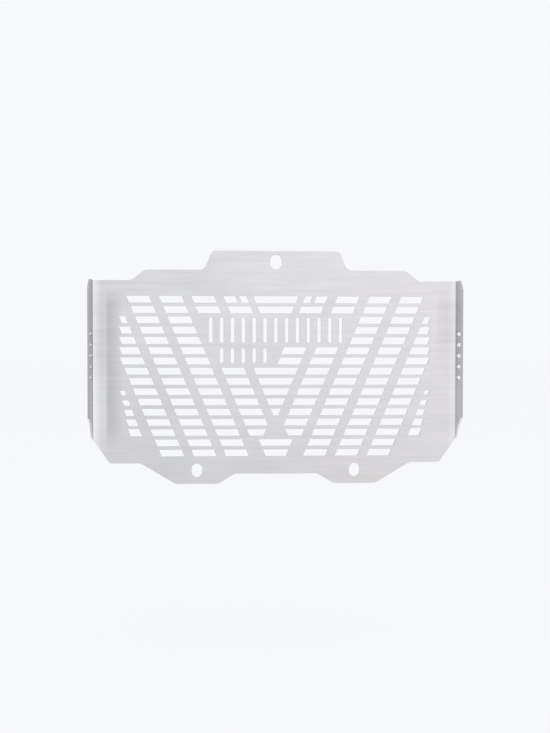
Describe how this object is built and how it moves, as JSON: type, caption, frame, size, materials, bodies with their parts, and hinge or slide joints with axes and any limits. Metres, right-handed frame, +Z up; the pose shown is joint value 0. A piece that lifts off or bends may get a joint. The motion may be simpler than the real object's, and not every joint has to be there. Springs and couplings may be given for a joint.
{
  "type": "motorcycle radiator guard",
  "caption": "Flat brushed stainless radiator guard with a slotted grille, a top tab, bolt slots and two folded side flanges.",
  "frame": {"origin": "centre of the top bolt slot, on the rear face of the plate, which bears on the radiator's brackets", "axes": "+X along the width, +Y forwards out of the front face, +Z up; the side flanges point to -Y"},
  "size_m": [0.298, 0.0195, 0.1888],
  "materials": {
    "stainless": "brushed"
  },
  "bodies": {
    "root": {"guard_sheet": "stainless"}
  },
  "joints": []
}
